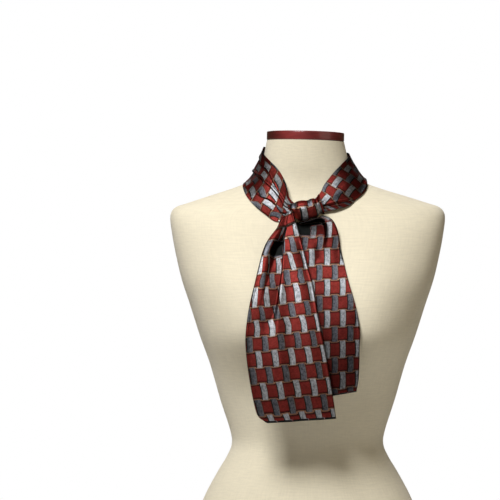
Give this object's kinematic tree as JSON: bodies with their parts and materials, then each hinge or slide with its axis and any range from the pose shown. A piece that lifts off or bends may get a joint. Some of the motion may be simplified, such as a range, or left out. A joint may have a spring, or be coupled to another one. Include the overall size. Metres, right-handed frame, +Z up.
{
  "type": "silk scarf tied on a limbless dress form",
  "caption": "Narrow printed silk scarf tied once at the throat of a limbless linen dress form, with its two ends hanging down the chest.",
  "frame": {"origin": "centre of the dress form's flat underside, on the surface it stands on", "axes": "+Z up along the form, -Y out of its front, +X towards the viewer's right of the form"},
  "size_m": [0.411, 0.2843, 0.8111],
  "materials": {
    "printed_silk": "satin silk twill, printed with a basket-weave repeat in dark red, silver grey and slate with thin tan lines",
    "natural_linen": "matt, slubbed cream linen stretched smooth over the form",
    "stained_wood": "dark red stained and varnished wood"
  },
  "bodies": {
    "root": {"front_tail": "printed_silk", "back_tail": "printed_silk", "neck_left": "printed_silk", "neck_back": "printed_silk", "neck_right": "printed_silk", "knot_band": "printed_silk", "knot_core": "printed_silk", "form_torso": "natural_linen", "neck_cap": "stained_wood"}
  },
  "joints": []
}
